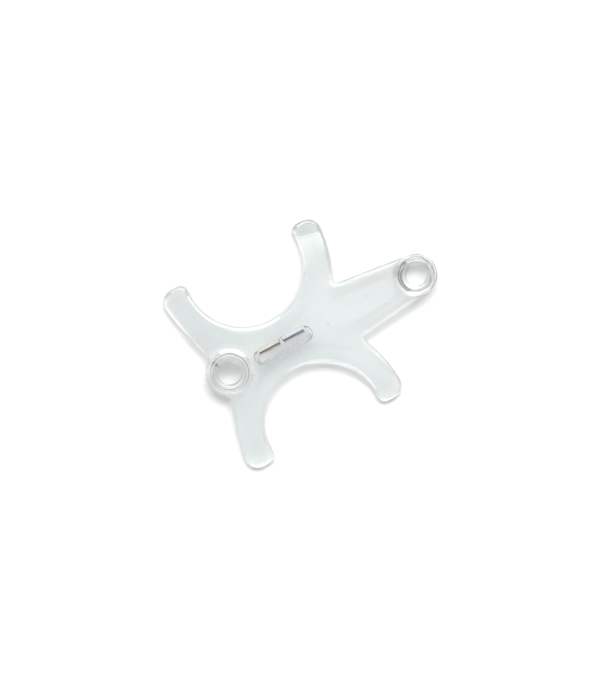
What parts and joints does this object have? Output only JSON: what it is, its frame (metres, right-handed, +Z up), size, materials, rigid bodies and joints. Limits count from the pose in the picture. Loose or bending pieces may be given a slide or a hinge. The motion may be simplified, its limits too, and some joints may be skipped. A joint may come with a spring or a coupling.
{
  "type": "dental cheek retractor",
  "caption": "Clear cheek retractor: an arched plate with curved wings and lip recesses, a gutter tail, thick tube bushings in drafted collars and a snap-in frame socket.",
  "frame": {"origin": "under the middle of the part's bounding box, on the surface that the four wing tips rest on", "axes": "+X from the mouth end to the tail end along the plane of symmetry, +Y towards one pair of wings, +Z up, out of the side that carries the collars and the socket"},
  "size_m": [0.0724, 0.056, 0.0063],
  "materials": {
    "clear_body": "clear polished moulding with a fine dot grain on the wings",
    "clear_bushing": "clear smooth silicone",
    "clear_socket": "clear polished moulding"
  },
  "bodies": {
    "root": {"retractor_body": "clear_body", "mouth_end_tube_bushing": "clear_bushing", "tail_end_tube_bushing": "clear_bushing", "frame_socket": "clear_socket"}
  },
  "joints": []
}
